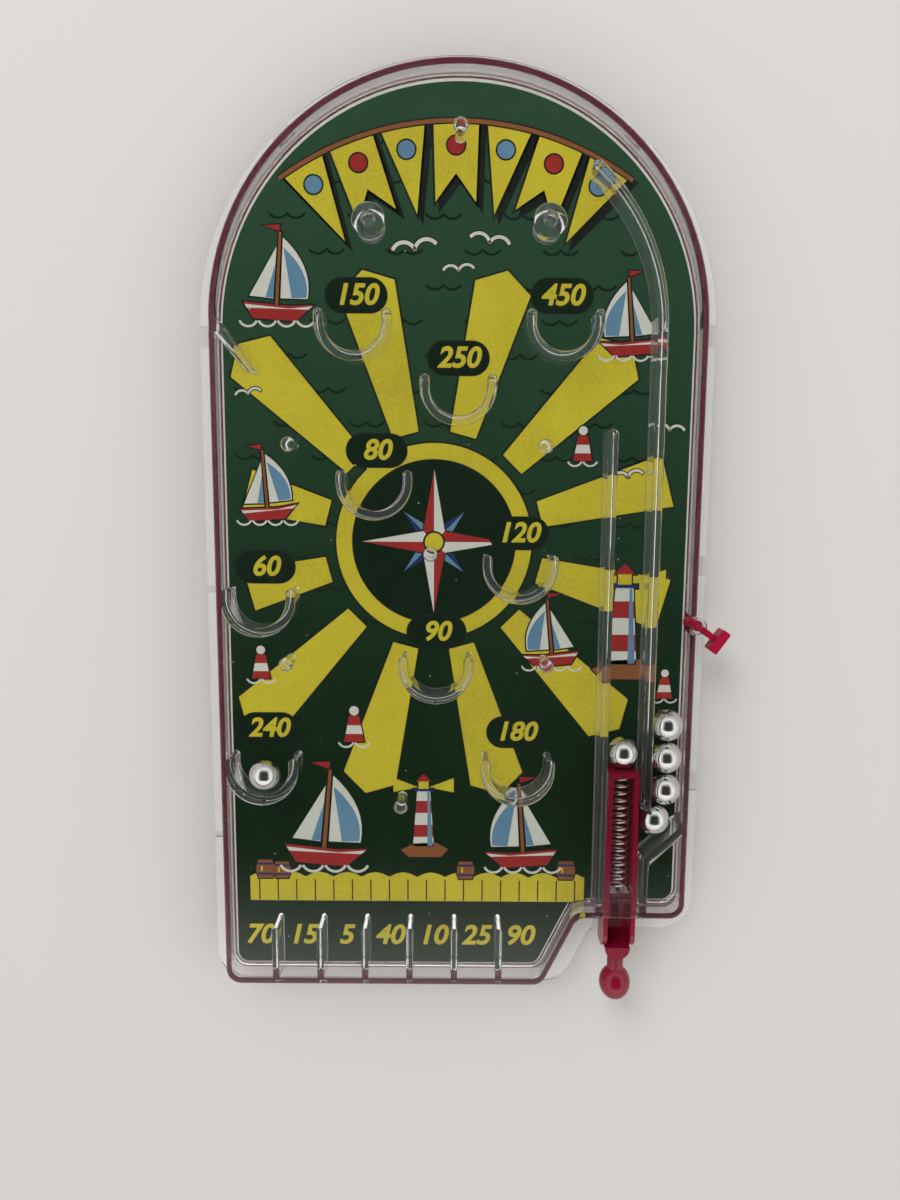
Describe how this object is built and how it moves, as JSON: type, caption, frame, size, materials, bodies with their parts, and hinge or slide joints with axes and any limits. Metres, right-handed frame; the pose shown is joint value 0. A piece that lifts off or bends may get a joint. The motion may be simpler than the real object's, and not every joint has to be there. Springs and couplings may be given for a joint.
{
  "type": "tabletop pinball game",
  "caption": "Flat dome-topped pinball game: red tray, printed card, clear cover with scoring cups and lanes, spring plunger, side lever and loose steel balls.",
  "frame": {"origin": "on the underside, at the crossing of the middle ribs, on the board's mid-line", "axes": "+X across the board to the plunger's side, +Y up the board to the round top, +Z out of the board to the player"},
  "size_m": [0.1603, 0.2867, 0.0216],
  "materials": {
    "red_plastic": "gloss",
    "printed_card": "satin print",
    "clear_plastic": "clear gloss",
    "spring_wire": "bright wire",
    "ball_steel": "polished"
  },
  "bodies": {
    "case": {"base_tray": "red_plastic", "playfield_card": "printed_card", "clear_cover": "clear_plastic", "scoring_cup_1": "clear_plastic", "scoring_cup_2": "clear_plastic", "scoring_cup_3": "clear_plastic", "scoring_cup_4": "clear_plastic", "scoring_cup_5": "clear_plastic", "scoring_cup_6": "clear_plastic", "scoring_cup_7": "clear_plastic", "scoring_cup_8": "clear_plastic", "scoring_cup_9": "clear_plastic", "lane_wall": "clear_plastic", "lane_divider": "clear_plastic", "ball_ledge": "clear_plastic", "entry_deflector": "clear_plastic", "bin_dividers": "clear_plastic", "pegs": "clear_plastic", "posts": "clear_plastic", "plunger_spring": "spring_wire"},
    "plunger": {"plunger": "red_plastic"},
    "gate_lever": {"gate_lever": "red_plastic"},
    "ball_1": {"ball_1": "ball_steel"},
    "ball_2": {"ball_2": "ball_steel"},
    "ball_3": {"ball_3": "ball_steel"},
    "ball_4": {"ball_4": "ball_steel"},
    "ball_5": {"ball_5": "ball_steel"},
    "ball_6": {"ball_6": "ball_steel"}
  },
  "joints": [
    {"name": "plunger_pull", "type": "slide", "parent": "case", "child": "plunger", "axis": [0, -1, 0], "range_m": [0, 0.025], "stiffness_N_per_m": 120, "deforming": ["plunger_spring"]},
    {"name": "gate_swing", "type": "hinge", "parent": "case", "child": "gate_lever", "pos_m": [0.0721, -0.0219, 0.0138], "axis": [0, 0, 1], "range_deg": [-20, 30]},
    {"name": "shot_roll", "type": "slide", "parent": "case", "child": "ball_1", "axis": [0, 1, 0], "range_m": [0, 0.11]},
    {"name": "queue_roll_2", "type": "slide", "parent": "case", "child": "ball_2", "axis": [0, 1, 0], "range_m": [0, 0.02]},
    {"name": "queue_roll_3", "type": "slide", "parent": "case", "child": "ball_3", "axis": [0, 1, 0], "range_m": [0, 0.02]},
    {"name": "queue_roll_4", "type": "slide", "parent": "case", "child": "ball_4", "axis": [0, 1, 0], "range_m": [0, 0.02]},
    {"name": "queue_roll_5", "type": "slide", "parent": "case", "child": "ball_5", "axis": [0.7145, 0.6997, 0], "range_m": [0, 0.0046]},
    {"name": "cup_roll", "type": "slide", "parent": "case", "child": "ball_6", "axis": [0, 1, 0], "range_m": [0, 0.02]}
  ],
  "couplings": [
    {"joint": "queue_roll_3", "follows": "queue_roll_2", "ratio": 1},
    {"joint": "queue_roll_4", "follows": "queue_roll_2", "ratio": 1},
    {"joint": "queue_roll_5", "follows": "queue_roll_2", "ratio": 0.22}
  ]
}
